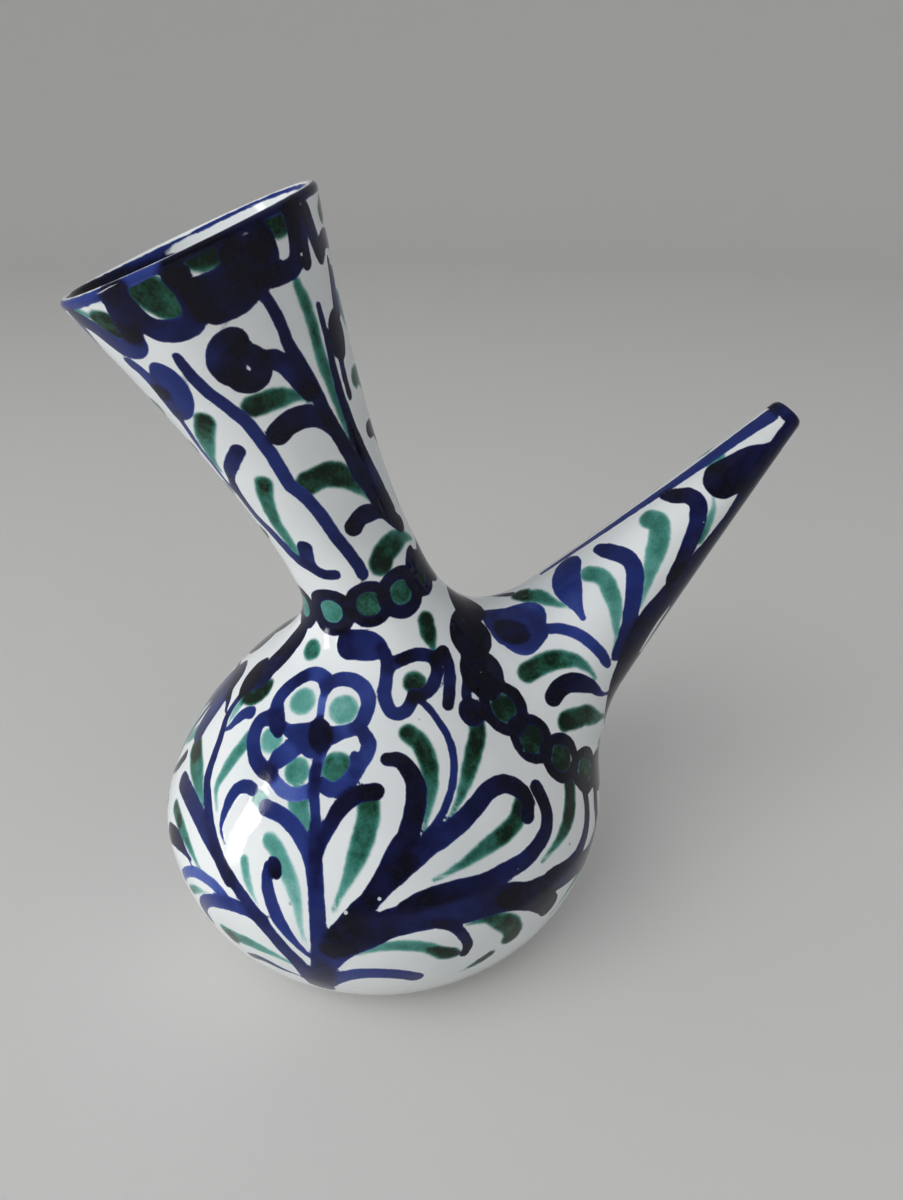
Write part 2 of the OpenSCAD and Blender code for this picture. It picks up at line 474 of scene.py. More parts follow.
# A tone is a pigment and how heavily it lies
tones = {
    "black": ("blue", 1.0),
    "navy": ("blue", 0.93),
    "ink": ("blue", 0.76),
    "blue": ("blue", 0.62),
    "sky": ("blue", 0.36),
    "bottle": ("green", 0.97),
    "pine": ("green", 0.84),
    "green": ("green", 0.68),
    "teal": ("green", 0.47),
    "mint": ("green", 0.3),
}

brush = {
    "spread": 1.06,  # how far the paint runs beyond the brush
    "curveSteps": 24,  # between two places of a stroke
    "stepLength": 0.4,
    "fewestSteps": 6,
    "roundSteps": 90,
    "commaTail": 0.22,  # a share of the full width, as are the next ones
    "commaFull": 0.7,  # how far along a comma is at its full width
    "stemTip": 0.55,
    "leafTip": 0.05,
    "leafPower": 0.7,
    "hookShape": ((0, 0.5, 0.8, 1), (0.4, 1, 0.95, 0.62)),
    "lineShape": ((0, 0.07, 0.5, 1), (0.7, 0.95, 1, 0.92)),
    # load where the brush sets down, and what it gains on the way
    "greenLoad": (0.62, 0.55),
    "commaLoad": (0.78, 0.3),
    "stemLoad": (0.9, 0.12),
    "hookLoad": (0.9, 0.15),
    "lineLoad": (0.95, 0.09),
}


# One pull of the brush, through places given as angle and distance
def pull(kind, tone, width, *places):
    return {"kind": kind, "tone": tone, "width": width, "places": places}


comma, line, leaf, stem, hook = (partial(pull, kind) for kind in ("comma", "line", "leaf", "stem", "hook"))


def dot(tone, radius, *place):
    return pull("dot", tone, radius * 2, place)


def ring(tone, width, radius, *place):
    return dict(pull("ring", tone, width, place), radius=radius)


bellyStrokes = [
    # stem of the flower and the leaves left of it
    stem("ink", 5.0, (-26.4, 79), (-24.6, 70), (-23.3, 60), (-22.8, 50), (-23.8, 40), (-24.5, 31)),
    line("ink", 2.4, (-29.5, 92), (-28.3, 86), (-27.4, 83), (-26.4, 80), (-25.8, 77), (-25.2, 72)),
    comma("blue", 3.8, (-25, 60), (-25.6, 67), (-27, 72), (-30, 76), (-34, 78.5), (-38, 79.5), (-42, 79.6)),
    comma("mint", 3.4, (-40.5, 79.6), (-43, 80.2), (-45.3, 80.8)),
    comma(
        "mint", 3.9, (-26, 52), (-27.2, 56.5), (-28.2, 61), (-30, 65), (-32.6, 68.5), (-35.3, 71.5),
        (-38, 73),
    ),
    hook(
        "blue", 3.4, (-25.5, 47), (-28, 50.3), (-30.2, 53.3), (-32.3, 56), (-34, 58.8), (-35.4, 61.5),
        (-36.6, 64.5), (-37, 67.5),
    ),
    comma("navy", 2.8, (-37.2, 67.5), (-36.2, 69), (-34.8, 68.2), (-34.4, 66.5)),
    stem(
        "ink", 4.8, (-53, 64.6), (-48, 61.8), (-44, 59.4), (-41, 57.4), (-37.6, 54.8), (-34.1, 51.2),
        (-31.6, 47.4), (-29, 43.6), (-27.2, 37.5), (-26, 32),
    ),
    line(
        "blue", 3.5, (-36, 55), (-41, 55.3), (-45.4, 54.6), (-49.5, 53.1), (-53.5, 50.8), (-56.5, 47.6),
        (-58, 44), (-57, 41),
    ),
    comma(
        "ink", 5.0, (-44, 58.5), (-48, 61), (-53, 63.6), (-58, 66), (-65, 68.4), (-73, 69), (-79.7, 68.5),
    ),
    line(
        "sky", 2.8, (-46, 55), (-50.7, 56.6), (-54.5, 56.6), (-58.3, 55.9), (-62, 53.8), (-65, 50.9),
        (-66.5, 48.5),
    ),
    comma("green", 3.8, (-57, 57.5), (-62, 59.3), (-66.5, 60.6), (-70.5, 61.3), (-74, 61.8), (-77.5, 62)),
    dot("bottle", 1.7, -72.5, 61.3),
    comma("navy", 5.0, (-61.5, 57.2), (-65, 57.4), (-69, 57.4), (-73, 56.5), (-77, 54.5)),
    comma("mint", 2.4, (-38, 58), (-41, 61.5), (-44, 66.5)),
    comma("teal", 2.4, (-53, 53.5), (-58, 51), (-62.5, 47.5)),
    comma("teal", 4.0, (-28.5, 41), (-33.8, 43.2), (-38.4, 44), (-42, 44), (-46, 43.2), (-50, 42.5)),
    dot("bottle", 2.1, -48, 41.2),
    comma("ink", 2.4, (-28, 35), (-31, 36.2), (-34.8, 37), (-37.8, 37.8), (-40.8, 37.8), (-44, 36)),
    # bud at the left with its wavy stem
    stem(
        "ink", 3.8, (-79, 98), (-79.5, 94), (-77.5, 90), (-74.5, 87.5), (-72, 84.5), (-70, 81),
        (-67.5, 76.5), (-63, 73), (-58.5, 69), (-54, 65.5), (-50, 62.5), (-47, 60.5),
    ),
    comma("navy", 2.6, (-77.5, 90), (-81, 90.5), (-85, 92), (-89, 92.7), (-92, 93.6), (-94, 94.5)),
    comma("blue", 3.2, (-74.5, 87), (-72, 89.7), (-71, 92.4), (-69.3, 95), (-66.4, 96.3)),
    comma("mint", 2.6, (-74, 89), (-75, 92), (-76, 95), (-76, 97)),
    leaf("bottle", 6.5, (-77, 97), (-71, 101), (-68, 105)),
    leaf("black", 6.5, (-79, 96), (-84, 102), (-86, 107)),
    hook(
        "navy", 6.8, (-80, 98), (-77, 102), (-75.7, 104.3), (-77.5, 107), (-78.3, 111), (-79, 115),
        (-78, 118), (-76, 121),
    ),
    line("ink", 8.0, (-88.5, 79), (-90, 82), (-91.5, 87), (-93.5, 91), (-96, 95)),
    comma("green", 6.0, (-63, 70), (-65.5, 71.8), (-69.6, 73.4), (-74.5, 75), (-80, 76.2), (-84, 77)),
    dot("bottle", 2.6, -82, 77),
    comma("mint", 4.0, (-98, 67), (-95.5, 71.5), (-93, 75), (-91, 78)),
    comma("navy", 3.2, (-98, 58), (-93.5, 62), (-90, 66.5), (-88, 71)),
    comma(
        "blue", 3.2, (-51, 67.5), (-54, 70), (-54.8, 73.7), (-54.7, 78), (-53.4, 80.6), (-50.5, 82),
        (-48.4, 82),
    ),
    comma("teal", 3.6, (-58, 73), (-61.8, 77), (-61.9, 81.4), (-61.3, 86), (-60.3, 89), (-59.6, 92)),
    dot("green", 2.6, -57, 117.5),
    # flower: five green spots, each in a blue petal, round a washed middle
    dot("mint", 3.3, -45, 105.2),
    dot("mint", 3.4, -24.3, 105.6),
    dot("mint", 3.1, -50, 94),
    dot("teal", 3.1, -35.8, 89.7),
    dot("green", 3.6, -22.7, 92),
    line(
        "ink", 3.8, (-49, 97), (-52.8, 99.8), (-56.5, 101.8), (-57.4, 104.3), (-55.8, 107.5), (-53, 110.2),
    ),
    line("blue", 3.6, (-53, 110.2), (-48, 112.2), (-40, 112.3), (-36, 110.2)),
    line("sky", 2.0, (-36.5, 111), (-35.7, 107.4), (-34.5, 104.7), (-33.5, 102)),
    line(
        "blue", 3.6, (-35, 111.3), (-30, 112.8), (-23, 112.9), (-17, 111.6), (-14, 109.3), (-13.6, 106.7),
        (-15, 104), (-17, 102),
    ),
    line("blue", 3.2, (-29, 99.6), (-22.2, 100.5), (-17, 101.5), (-14.3, 100.1)),
    line(
        "blue", 3.6, (-14.8, 100.6), (-12.6, 98.1), (-13, 95.9), (-15.2, 93.5), (-17, 90.9), (-20, 88.3),
        (-23.3, 87.2), (-27, 88),
    ),
    line("blue", 2.4, (-17.3, 95.5), (-16.6, 93.5), (-16.5, 91.5)),
    line("sky", 2.8, (-29, 98), (-29.3, 94), (-29.6, 90), (-29, 87)),
    line("sky", 3.3, (-45.7, 89.3), (-44, 87), (-40.7, 85.4), (-37, 84.4), (-33.4, 84.7), (-30, 86.3)),
    line("blue", 5.0, (-44.5, 90.3), (-41.5, 93), (-39, 95.5), (-36, 98)),
    line(
        "ink", 4.2, (-48.7, 96.4), (-52, 98), (-55, 98.5), (-58.7, 96.9), (-59.3, 94.9), (-58, 92.5),
        (-55.3, 90.2), (-52, 88.3), (-48, 87.2), (-45, 87),
    ),
    line("sky", 2.2, (-50, 98.4), (-45, 98.2), (-40, 99.4)),
    dot("blue", 4.2, -33, 97.6),
    leaf("blue", 5.4, (-47, 97), (-40, 98), (-32, 98.6), (-23, 98.6)),
    leaf("navy", 5.2, (-35.5, 101.6), (-32, 100), (-29.5, 95.5)),
    comma("teal", 5.0, (-26.5, 72), (-27.7, 76), (-29.3, 78.4), (-31.6, 81), (-33, 84.3)),
    # leaves right of the stem
    comma(
        "navy", 3.8, (-24, 66), (-24, 73), (-23.6, 75.6), (-22.4, 79.1), (-20.8, 82.2), (-18.6, 84.6),
        (-15.4, 86.4), (-12, 87.1), (-9.8, 87.2),
    ),
    comma(
        "green", 5.0, (-19.5, 61), (-18, 65), (-16.5, 68.5), (-15, 72), (-13.8, 75.6), (-12.8, 78.5),
        (-12, 81.5), (-12, 84.5),
    ),
    hook(
        "navy", 4.8, (-21, 52), (-15, 60), (-9, 67.5), (-4, 74.6), (-1.9, 76.8), (-0.2, 80), (1.4, 83.9),
        (2.2, 87.6), (1.1, 91), (-2, 93.9), (-6.1, 94.3),
    ),
    line("navy", 4.0, (-20, 54), (-14, 61.5), (-8, 66.5), (-2, 71.5)),
    line(
        "navy", 4.6, (-20, 52), (-10, 65), (1.5, 73.2), (6.8, 75.4), (12, 77.3), (18.3, 79.9), (23.6, 82),
        (29.3, 81.7), (33, 79), (34.3, 75.6), (32.4, 72.4),
    ),
    comma("pine", 4.4, (3.5, 66.5), (9, 68), (13, 69), (18, 70.4), (23.7, 71.4), (28.3, 72.7), (32, 75.5)),
    dot("bottle", 1.7, 30.5, 74.4),
    line(
        "navy", 4.2, (-4, 61.5), (2, 63), (8, 63.4), (15, 62.9), (20, 63.2), (27, 63.3), (31.7, 64.4),
        (36, 66.2), (38.5, 69), (39.3, 72), (39.4, 74.7), (39.2, 76.3),
    ),
    comma("bottle", 4.8, (32, 60.4), (36, 61.3), (40.3, 62.2), (45, 63.8), (49, 66.5), (52, 70), (53, 72)),
    line("navy", 3.4, (33, 56), (40, 54.2), (45, 54), (49, 55.2), (52.6, 57.4), (55.6, 60.3), (57.5, 64)),
    comma("navy", 3.8, (46, 50.5), (54, 50.5), (58.6, 51.5), (61.6, 56), (64, 59), (66, 63)),
    line(
        "navy", 7.0, (-20, 50.5), (-14, 55), (-6, 58.2), (2, 59), (9, 58.4), (16, 57.8), (22, 56.4),
        (27, 53.4), (31, 49.5), (33.5, 46),
    ),
    line("navy", 6.5, (20, 56.5), (28, 54.5), (35, 53), (40, 51.5), (46, 49.5), (52, 48), (58, 48)),
    line("navy", 2.6, (3, 56.5), (5.3, 55.6), (7.3, 54), (9, 51), (10, 47.5), (9.3, 44.8)),
    line("ink", 4.4, (-24, 35), (-21.5, 44), (-17, 50.5), (-9, 55.5)),
    comma("teal", 3.3, (-20, 46.5), (-15, 49.8), (-10, 51.8), (-5, 52.1), (0, 50.6), (3, 48.4), (6, 46.8)),
    leaf("bottle", 4.0, (1, 49.6), (5, 46.8), (8.5, 45.4)),
    line("blue", 4.2, (-24, 33), (-21, 37.5), (-18, 40.5), (-14, 42.2), (-9, 42.2), (-5, 41), (-2, 39.2)),
    comma("bottle", 5.4, (10, 54.5), (15, 54), (18, 51.6), (20.5, 49), (22, 45.5), (21.7, 43.8)),
    comma("bottle", 2.6, (9, 36), (13, 38), (16.5, 40)),
    # curls on the shoulder under the neck
    line(
        "ink", 3.2, (-6, 121.2), (-3.7, 120), (-3, 116.8), (-4.4, 113.3), (-5.6, 110.3), (-5.1, 107.3),
        (-3.1, 105.2), (0, 104.6), (3.3, 105.2), (6.2, 106.8), (8.5, 108.8),
    ),
    comma("ink", 7.0, (-4, 118), (-6, 120.6), (-12, 122), (-20, 122.6), (-28, 122.4)),
    line("ink", 3.2, (-2, 116), (0.2, 117), (6.9, 117.9)),
    line("navy", 3.3, (6, 117.8), (14.5, 118.2), (21.7, 117.6), (27.9, 116), (35.5, 116.3)),
    comma("bottle", 4.6, (28.5, 117), (30.5, 121), (32, 123.5), (34, 126.5)),
    line("navy", 3.2, (27.9, 116), (26.5, 114), (24.6, 112.2), (18.5, 109.3), (12.5, 108.2), (8.2, 108.2)),
    dot("bottle", 2.8, 10.5, 111.4),
    line("navy", 3.2, (35.5, 116.3), (33.2, 112.3), (27.7, 108), (22.4, 104)),
    line(
        "ink", 1.9, (0.9, 75), (3.8, 77), (7.1, 79.5), (10.2, 82.4), (13, 85.8), (14.8, 88.6), (16.3, 91.8),
        (17, 94.8), (16.7, 97.8), (15.4, 101.1), (13.3, 104.8), (9, 108),
    ),
    comma(
        "pine", 4.4, (2.6, 77), (3.4, 79.8), (4.8, 82.6), (6.4, 86.1), (7.2, 89.9), (7.4, 93.6),
        (5.9, 97.2), (2.6, 99.7),
    ),
    comma(
        "pine", 4.4, (8.5, 78), (10.8, 79.6), (13, 81.7), (17.1, 85.3), (21, 88.9), (24.7, 92), (28.7, 95),
        (31, 98.5),
    ),
    dot("navy", 3.5, 31, 100),
    line("navy", 2.8, (31, 100), (33.5, 104.5), (40, 108)),
    # small plant under the neck, out of the main view
    stem("ink", 4.0, (-98, 98), (-98, 80), (-98, 63), (-98, 48), (-98, 32)),
    comma("green", 3.8, (-98, 37), (-94.5, 42), (-91, 45), (-87.5, 46)),
    comma("blue", 3.6, (-98, 46), (-94.5, 51), (-91, 54), (-88, 55.5)),
    comma("navy", 3.0, (-98, 33), (-94, 35.5), (-90, 36.5), (-86, 36.5)),
]

# a frond under the spout, on the front and the far side alike
underSpoutStrokes = [
    stem("navy", 4.0, (81, 66), (80, 58), (80, 50), (82, 42), (82, 31)),
    comma("green", 3.8, (81, 38), (77, 43), (72, 46), (67, 46.5)),
    comma("navy", 3.6, (80, 46), (76, 53), (72, 58), (69, 60.5)),
    comma("navy", 3.0, (82, 34), (77, 36.5), (71, 38), (65, 37.5)),
    comma("teal", 3.2, (80, 55), (77, 60), (75, 65), (75, 69)),
    comma("blue", 3.4, (42, 36), (48, 38.5), (54, 40), (60, 39.5)),
    comma("green", 3.0, (36, 40), (43, 43.5), (50, 45), (57, 44.5)),
]

neckStrokes = [
    # scallops under the rim
    line(
        "ink", 4.6, (-64, 91), (-57, 88.5), (-53.5, 86), (-50, 83.4), (-44, 82), (-38.5, 82.5), (-36, 85.5),
        (-34.5, 88), (-33, 91), (-31, 93.2),
    ),
    line("navy", 5.2, (-28, 93), (-32, 90.5), (-35, 87.5), (-37, 85)),
    leaf("bottle", 6.0, (-50, 90), (-43, 87), (-38, 83.6)),
    comma("teal", 3.4, (-49, 90.4), (-55, 91), (-62, 91.6)),
    line(
        "navy", 4.6, (-31, 92), (-29, 90), (-28, 86.5), (-24, 83.6), (-16, 82.2), (-8.5, 82.6), (-5, 85),
        (-4.6, 88), (-6, 91),
    ),
    dot("black", 1.5, -6.6, 91.2),
    dot("black", 1.2, -1.6, 91),
    leaf("pine", 7.4, (-25, 93.4), (-19.5, 91.4), (-15.5, 88.8), (-12, 86), (-10, 84)),
    # partly painted shade: the scallop band's right part is filled almost solid black, its brushwork
    # darkened by painted shade
    line("black", 6.6, (-2, 85), (6, 84), (13, 84), (20, 85)),
    line("black", 4.8, (-3, 87.4), (6, 86.9), (14, 87.4), (22, 88.6), (27, 88)),
    line("black", 4.0, (-4, 84), (0, 82.2), (6, 81.8), (13, 81.9), (19, 83), (22, 86)),
    line("black", 4.0, (24, 84), (29, 83.3), (35, 83), (41, 83), (45, 84.5), (47, 88), (47.5, 92)),
    line("black", 5.0, (25, 87), (30, 86.5), (31.5, 89.5)),
    line("black", 3.6, (14, 90.6), (19, 90.6), (25, 90.2), (31, 90)),
    line("black", 2.2, (16, 92.2), (20, 92.3)),
    line("black", 2.2, (28, 92.2), (32, 92.4)),
    leaf("bottle", 5.0, (32, 92.8), (38, 91.2), (44, 89.6)),
    leaf("bottle", 5.4, (0, 92.3), (8, 91.8), (16, 91.4)),
    line("navy", 3.5, (52, 92.5), (51, 87), (50, 82.5)),
    line("navy", 4.0, (58, 91), (60, 86), (63, 82)),
    # tulip and its long stem
    line("blue", 3.2, (-53.5, 79.6), (-50.5, 77.6), (-49.5, 74.6), (-50.5, 71), (-51.5, 68), (-52.5, 66)),
    leaf("blue", 8.4, (-50.5, 65.5), (-45, 68.6), (-41, 71.5), (-38.5, 74.5), (-38.5, 77.8)),
    dot("navy", 1.8, -49, 71.8),
    line("blue", 1.7, (-52.5, 66), (-56, 61.5), (-60, 57), (-61.5, 53), (-64, 48.5), (-62, 44.5)),
    line(
        "ink", 2.8, (-53, 48.6), (-57, 46), (-60, 42), (-60, 37.5), (-55, 34), (-51, 30), (-47.5, 26.5),
        (-41, 23.7), (-34, 21.9), (-26, 19.8), (-17, 19),
    ),
    comma(
        "ink", 3.3, (-59, 43), (-56, 46.7), (-50, 50), (-45, 51.5), (-40, 52.7), (-34, 54.1), (-29, 55.2),
    ),
    comma("green", 4.8, (-58, 51), (-56, 54), (-50.5, 57.4), (-44, 60.5), (-36, 63.4)),
    dot("bottle", 1.7, -36.5, 63),
    stem("green", 4.2, (-41, 25.5), (-41, 32), (-40.4, 36), (-34.6, 42.4), (-28, 46)),
    dot("bottle", 1.6, -27.5, 45.8),
    comma("ink", 3.6, (-26, 19.5), (-31.5, 21.5), (-34, 24), (-32, 26), (-29.5, 28)),
    # long wavy pull down the front
    line(
        "ink", 3.0, (-24.5, 77.6), (-24.6, 75), (-24, 72.3), (-22.8, 69.6), (-20, 66.8), (-17, 64),
        (-14, 61.2), (-12.5, 57.7), (-11.8, 54.5), (-11.2, 51), (-11.5, 47.4), (-11.2, 43.5), (-7.6, 40.6),
        (-4.2, 36.7), (-2, 32), (-1, 28), (2, 23.3), (4.2, 19.3), (4.2, 16.5),
    ),
    # round bud and the frond at the right
    ring("navy", 4.2, 3.0, 1, 70.4),
    line("navy", 6.5, (-6, 70.5), (-7, 73), (-3, 75.5), (1.5, 76)),
    line("navy", 3.9, (8, 70.8), (15, 69.6), (19.7, 67), (22.5, 63.7), (26, 60)),
    stem(
        "navy", 4.2, (22.8, 81.3), (25, 75.8), (25, 70.3), (27, 66.8), (28.6, 62.8), (30, 58.5), (31, 53.5),
        (34, 48), (36.4, 43.8), (38.3, 38.5), (43.5, 33), (47.5, 28.3), (55, 23.5), (62, 20.5),
    ),
    line("navy", 3.5, (46, 48), (50, 40), (55, 32.3), (60, 25)),
    stem("navy", 3.0, (50, 74), (49, 66), (47, 58), (47, 50), (49, 42)),
    line(
        "green", 3.0, (40.3, 80), (42, 74.3), (41.4, 67.4), (41, 63.7), (42.5, 55), (44, 48), (46, 41.5),
        (48, 36),
    ),
    comma("pine", 4.6, (24, 58.5), (20.7, 60), (14.8, 61.5), (7.4, 62.4), (0.5, 62.7), (-6, 63)),
    comma("navy", 5.0, (33, 47), (29, 51), (25.3, 54), (18.8, 56), (11.4, 56.6), (5, 56.4), (-1, 55.5)),
    comma(
        "bottle", 5.6, (40, 31), (37, 33), (31.5, 36.4), (25.3, 39.7), (17, 42), (8.7, 42.6), (0.6, 42.6),
    ),
    comma("navy", 4.4, (52, 23.5), (42, 27), (33, 28.6), (24.3, 29.2), (16, 28)),
    comma("pine", 6.2, (70, 15), (56, 17.6), (42, 18.4), (30.7, 18.2), (23, 16.5)),
    leaf("navy", 5.0, (62, 14), (55, 12), (49, 9), (45, 6)),
    leaf("navy", 7.0, (58, 62), (60, 66), (63, 71)),
    line("navy", 2.0, (62, 68), (68, 74), (72, 80)),
    line("navy", 2.0, (60, 66), (56, 60), (55, 54)),
    line("blue", 2.5, (75, 78), (70, 70)),
    # sprays that fill the two sides
    line("blue", 3.4, (-66, 91), (-72, 86), (-80, 83.5), (-90, 83)),
    comma("teal", 4.0, (-90, 90.5), (-83, 90), (-76, 88)),
    stem("blue", 3.4, (-90, 76), (-87, 68), (-88, 60), (-92, 52), (-91, 42), (-88, 32), (-87, 22)),
    comma("green", 4.2, (-88, 58), (-83, 63), (-77, 66.5), (-71, 68.5)),
    comma("blue", 3.8, (-91, 48), (-86, 53), (-80, 56), (-73, 57.5)),
    comma("green", 4.0, (-89, 36), (-85, 41), (-80, 44), (-73, 45.5)),
    comma("navy", 3.6, (-87, 24), (-82, 28.5), (-76, 31.5), (-71, 32.5)),
    line("navy", 3.8, (63, 82), (71, 84), (80, 83.5), (90, 83)),
    comma("bottle", 4.0, (90, 90.5), (83, 90), (76, 88.5)),
    stem("navy", 3.6, (90, 74), (87, 66), (88, 56), (91, 46), (89, 36), (88, 24)),
    comma("green", 4.2, (88, 50), (82, 54), (76, 56), (69, 56)),
    comma("navy", 3.8, (89, 36), (83, 41), (77, 43.5), (69, 44)),
    comma("teal", 3.8, (88, 62), (83, 66), (79, 69), (76, 72)),
]

spoutStrokes = [
    stem(
        "navy", 9.0, (12, 156), (12, 150), (16, 145), (20, 140), (26, 134), (32, 128), (31, 122), (27, 115),
        (21, 107), (18.5, 100), (17, 95), (22, 88), (32, 80), (42, 75), (58, 68),
    ),
    line("navy", 9.0, (48, 84), (58, 78), (68, 72), (76, 66)),
    stem("navy", 8.4, (52, 140), (50, 126), (48, 112), (51, 100), (57, 88), (68, 76)),
    stem("navy", 12.5, (90, 146), (90, 128), (90, 112), (90, 94), (90, 72)),
    # bud near the tip
    comma("navy", 9.5, (12, 150), (2, 146), (-10, 141), (-22, 136.3), (-33, 132.8)),
    dot("teal", 2.7, -75, 135.2),
    comma("teal", 2.8, (-25, 128), (-14, 126.3), (-8, 124.5), (-2, 121.5), (3, 118)),
    # hooks and leaves down the front
    line(
        "navy", 4.4, (-78, 120.4), (-72, 121.2), (-64, 122.2), (-54.7, 123.8), (-41, 124.4), (-29, 123.5),
        (-22, 122), (-15.5, 120.5), (-8, 117.4), (-2.7, 114.3), (2.6, 110.7), (8, 106),
    ),
    comma(
        "teal", 5.2, (-4, 95.5), (-7.5, 98), (-12.5, 100.5), (-19, 103.5), (-26.6, 106.8), (-34.3, 110),
        (-43, 112.6), (-53, 114), (-64.7, 113.3),
    ),
    line(
        "ink", 4.4, (-78, 99), (-63.5, 100.7), (-53, 102), (-41, 102.3), (-30.4, 101), (-22, 98.8),
        (-14.5, 96.2), (-8, 93.6), (-1.5, 91), (5, 87), (10, 83),
    ),
    comma(
        "teal", 4.3, (4, 83), (-2, 86), (-9, 88), (-15.4, 89.8), (-24.4, 92), (-34.4, 93.4), (-44.6, 94.5),
        (-53.7, 94.2), (-61.5, 92.8),
    ),
    # bud over the spout's root
    line("blue", 4.4, (-82, 65.5), (-79, 69.5), (-76, 73.5), (-70, 76), (-62, 76.3), (-55, 74.2)),
    line(
        "blue", 3.2, (-80, 64.8), (-69, 64), (-57, 65.2), (-48, 67.3), (-46.5, 70), (-48, 72.8),
        (-53, 74.5),
    ),
    leaf("navy", 6.0, (-74, 66), (-64, 67.5), (-54, 70.5)),
    leaf("blue", 11.0, (-84, 64), (-70, 68.5), (-57, 71.5), (-48, 75)),
    line("blue", 2.9, (8, 79.3), (-4.6, 80.5), (-18.6, 80.8), (-31.6, 80), (-42.8, 78), (-50, 75.3)),
    comma(
        "pine", 5.2, (6, 74.5), (-1, 75.3), (-6.6, 75.4), (-16.5, 75), (-25, 73), (-30.8, 70.4),
        (-34, 67.5), (-36.3, 64),
    ),
    comma(
        "navy", 5.0, (30, 73), (20, 72.2), (8, 72.4), (-2.3, 71.5), (-10.3, 69.7), (-14, 67), (-14.6, 64.4),
    ),
    comma("bottle", 5.6, (45, 67), (28.8, 66), (15, 65.2), (7, 63.2), (1.3, 60.7)),
]

# on the top of the spout, not mirrored
spoutTopStrokes = [
    comma("blue", 7.6, (-36, 84), (-44, 84.8), (-50.4, 85.4), (-63.4, 86.5), (-75, 88), (-84, 90)),
    comma(
        "green", 4.2, (-48, 84), (-51, 83.4), (-58.5, 82), (-68, 80.7), (-78.5, 79.2), (-86, 77),
        (-94, 75.5),
    ),
    dot("bottle", 2.4, -90, 76.5),
    line("navy", 2.5, (-100, 74), (-108, 71), (-114, 69)),
    stem(
        "blue", 4.0, (-105, 84), (-102, 95), (-98, 105), (-94, 115), (-89, 124), (-85, 131), (-81, 139),
        (-78, 144), (-74, 148), (-67, 152.5),
    ),
]

# chains round both joints, each link an angle, a distance and the tone of its heart
neckChain = {
    # the neck's hearts darken from the left side to the right: their own greens, with painted shade on the
    # right
    "places": (
        (-77, 9.8, "teal"), (-38, 9.8, "teal"), (-3, 8.9, "green"), (27, 7.2, "green"), (56, 7.1, "bottle"),
        (84, 6.5, "bottle"),
    ),
    "tone": "navy",
    "long": 4.6,
    "wide": 4.6,
    "heart": 3.6,
    "line": 3.1,
    "unevenness": 0.35,
    "rhythm": 2.6,
    "give": 0.4,  # share of it that goes into the size
}
spoutChain = {
    "places": (
        (-86, 65.6, "black"), (-68, 61.6, "black"), (-50, 58.4, "black"), (-32, 56.5, "bottle"),
        (-13, 55.6, "bottle"), (7, 56.6, "bottle"), (29, 56.5, "bottle"), (50, 56.5, "bottle"),
        (70, 56.5, "bottle"), (90, 56.5, "bottle"),
    ),
    "out": 10.0,  # how far outside the spout the chain lies
    "tone": "black",
    "long": 6.6,
    "wide": 4.7,
    "heart": 4.0,
    "line": 2.9,
    "unevenness": 0.3,
    "rhythm": 2.6,
    "give": 0.4,
}


# Draws a smooth curve through a stroke's places, in even steps
def throughPlaces(places, spot):
    marks = np.array(places, float)
    ends = np.concatenate((2 * marks[:1] - marks[1:2], marks, 2 * marks[-1:] - marks[-2:-1]))
    path = []
    for a, b, c, d in zip(ends, ends[1:], ends[2:], ends[3:]):
        for t in np.linspace(0, 1, brush["curveSteps"], endpoint=False):
            bend = (2 * a - 5 * b + 4 * c - d) * t ** 2 + (3 * b - a - 3 * c + d) * t ** 3
            path.append(0.5 * (2 * b + (c - a) * t + bend))
    path.append(marks[-1])
    path = np.array(path)
    track = spot(path[:, 0], path[:, 1])
    length = np.concatenate(([0], np.cumsum(np.linalg.norm(np.diff(track, axis=0), axis=1))))
    steps = max(int(length[-1] / brush["stepLength"]), brush["fewestSteps"])
    rows = np.linspace(0, length[-1], steps)
    return np.stack([np.interp(rows, length, track[:, k]) for k in range(3)], -1), rows / length[-1]


# A closed line round a place: a circle, or a pointed eye where it is longer than wide
def roundPlace(centre, long, wide, way=(0.0, 0.0, 1.0)):
    up = unit(slopeOf(skinGap, centre[None]))[0]
    side = unit(np.cross(up, way))
    ahead = np.cross(side, up)
    turn = np.linspace(0, 2 * math.pi, brush["roundSteps"])[:, None]
    bow = np.sin(turn) * np.abs(np.sin(turn)) ** (2 * (1 - wide / long))
    return ontoSkin(centre + long * np.cos(turn) * ahead + wide * bow * side)


# The load along a pull of the brush
def gaining(loads, t):
    start, gain = brush[loads]
    return start + gain * t


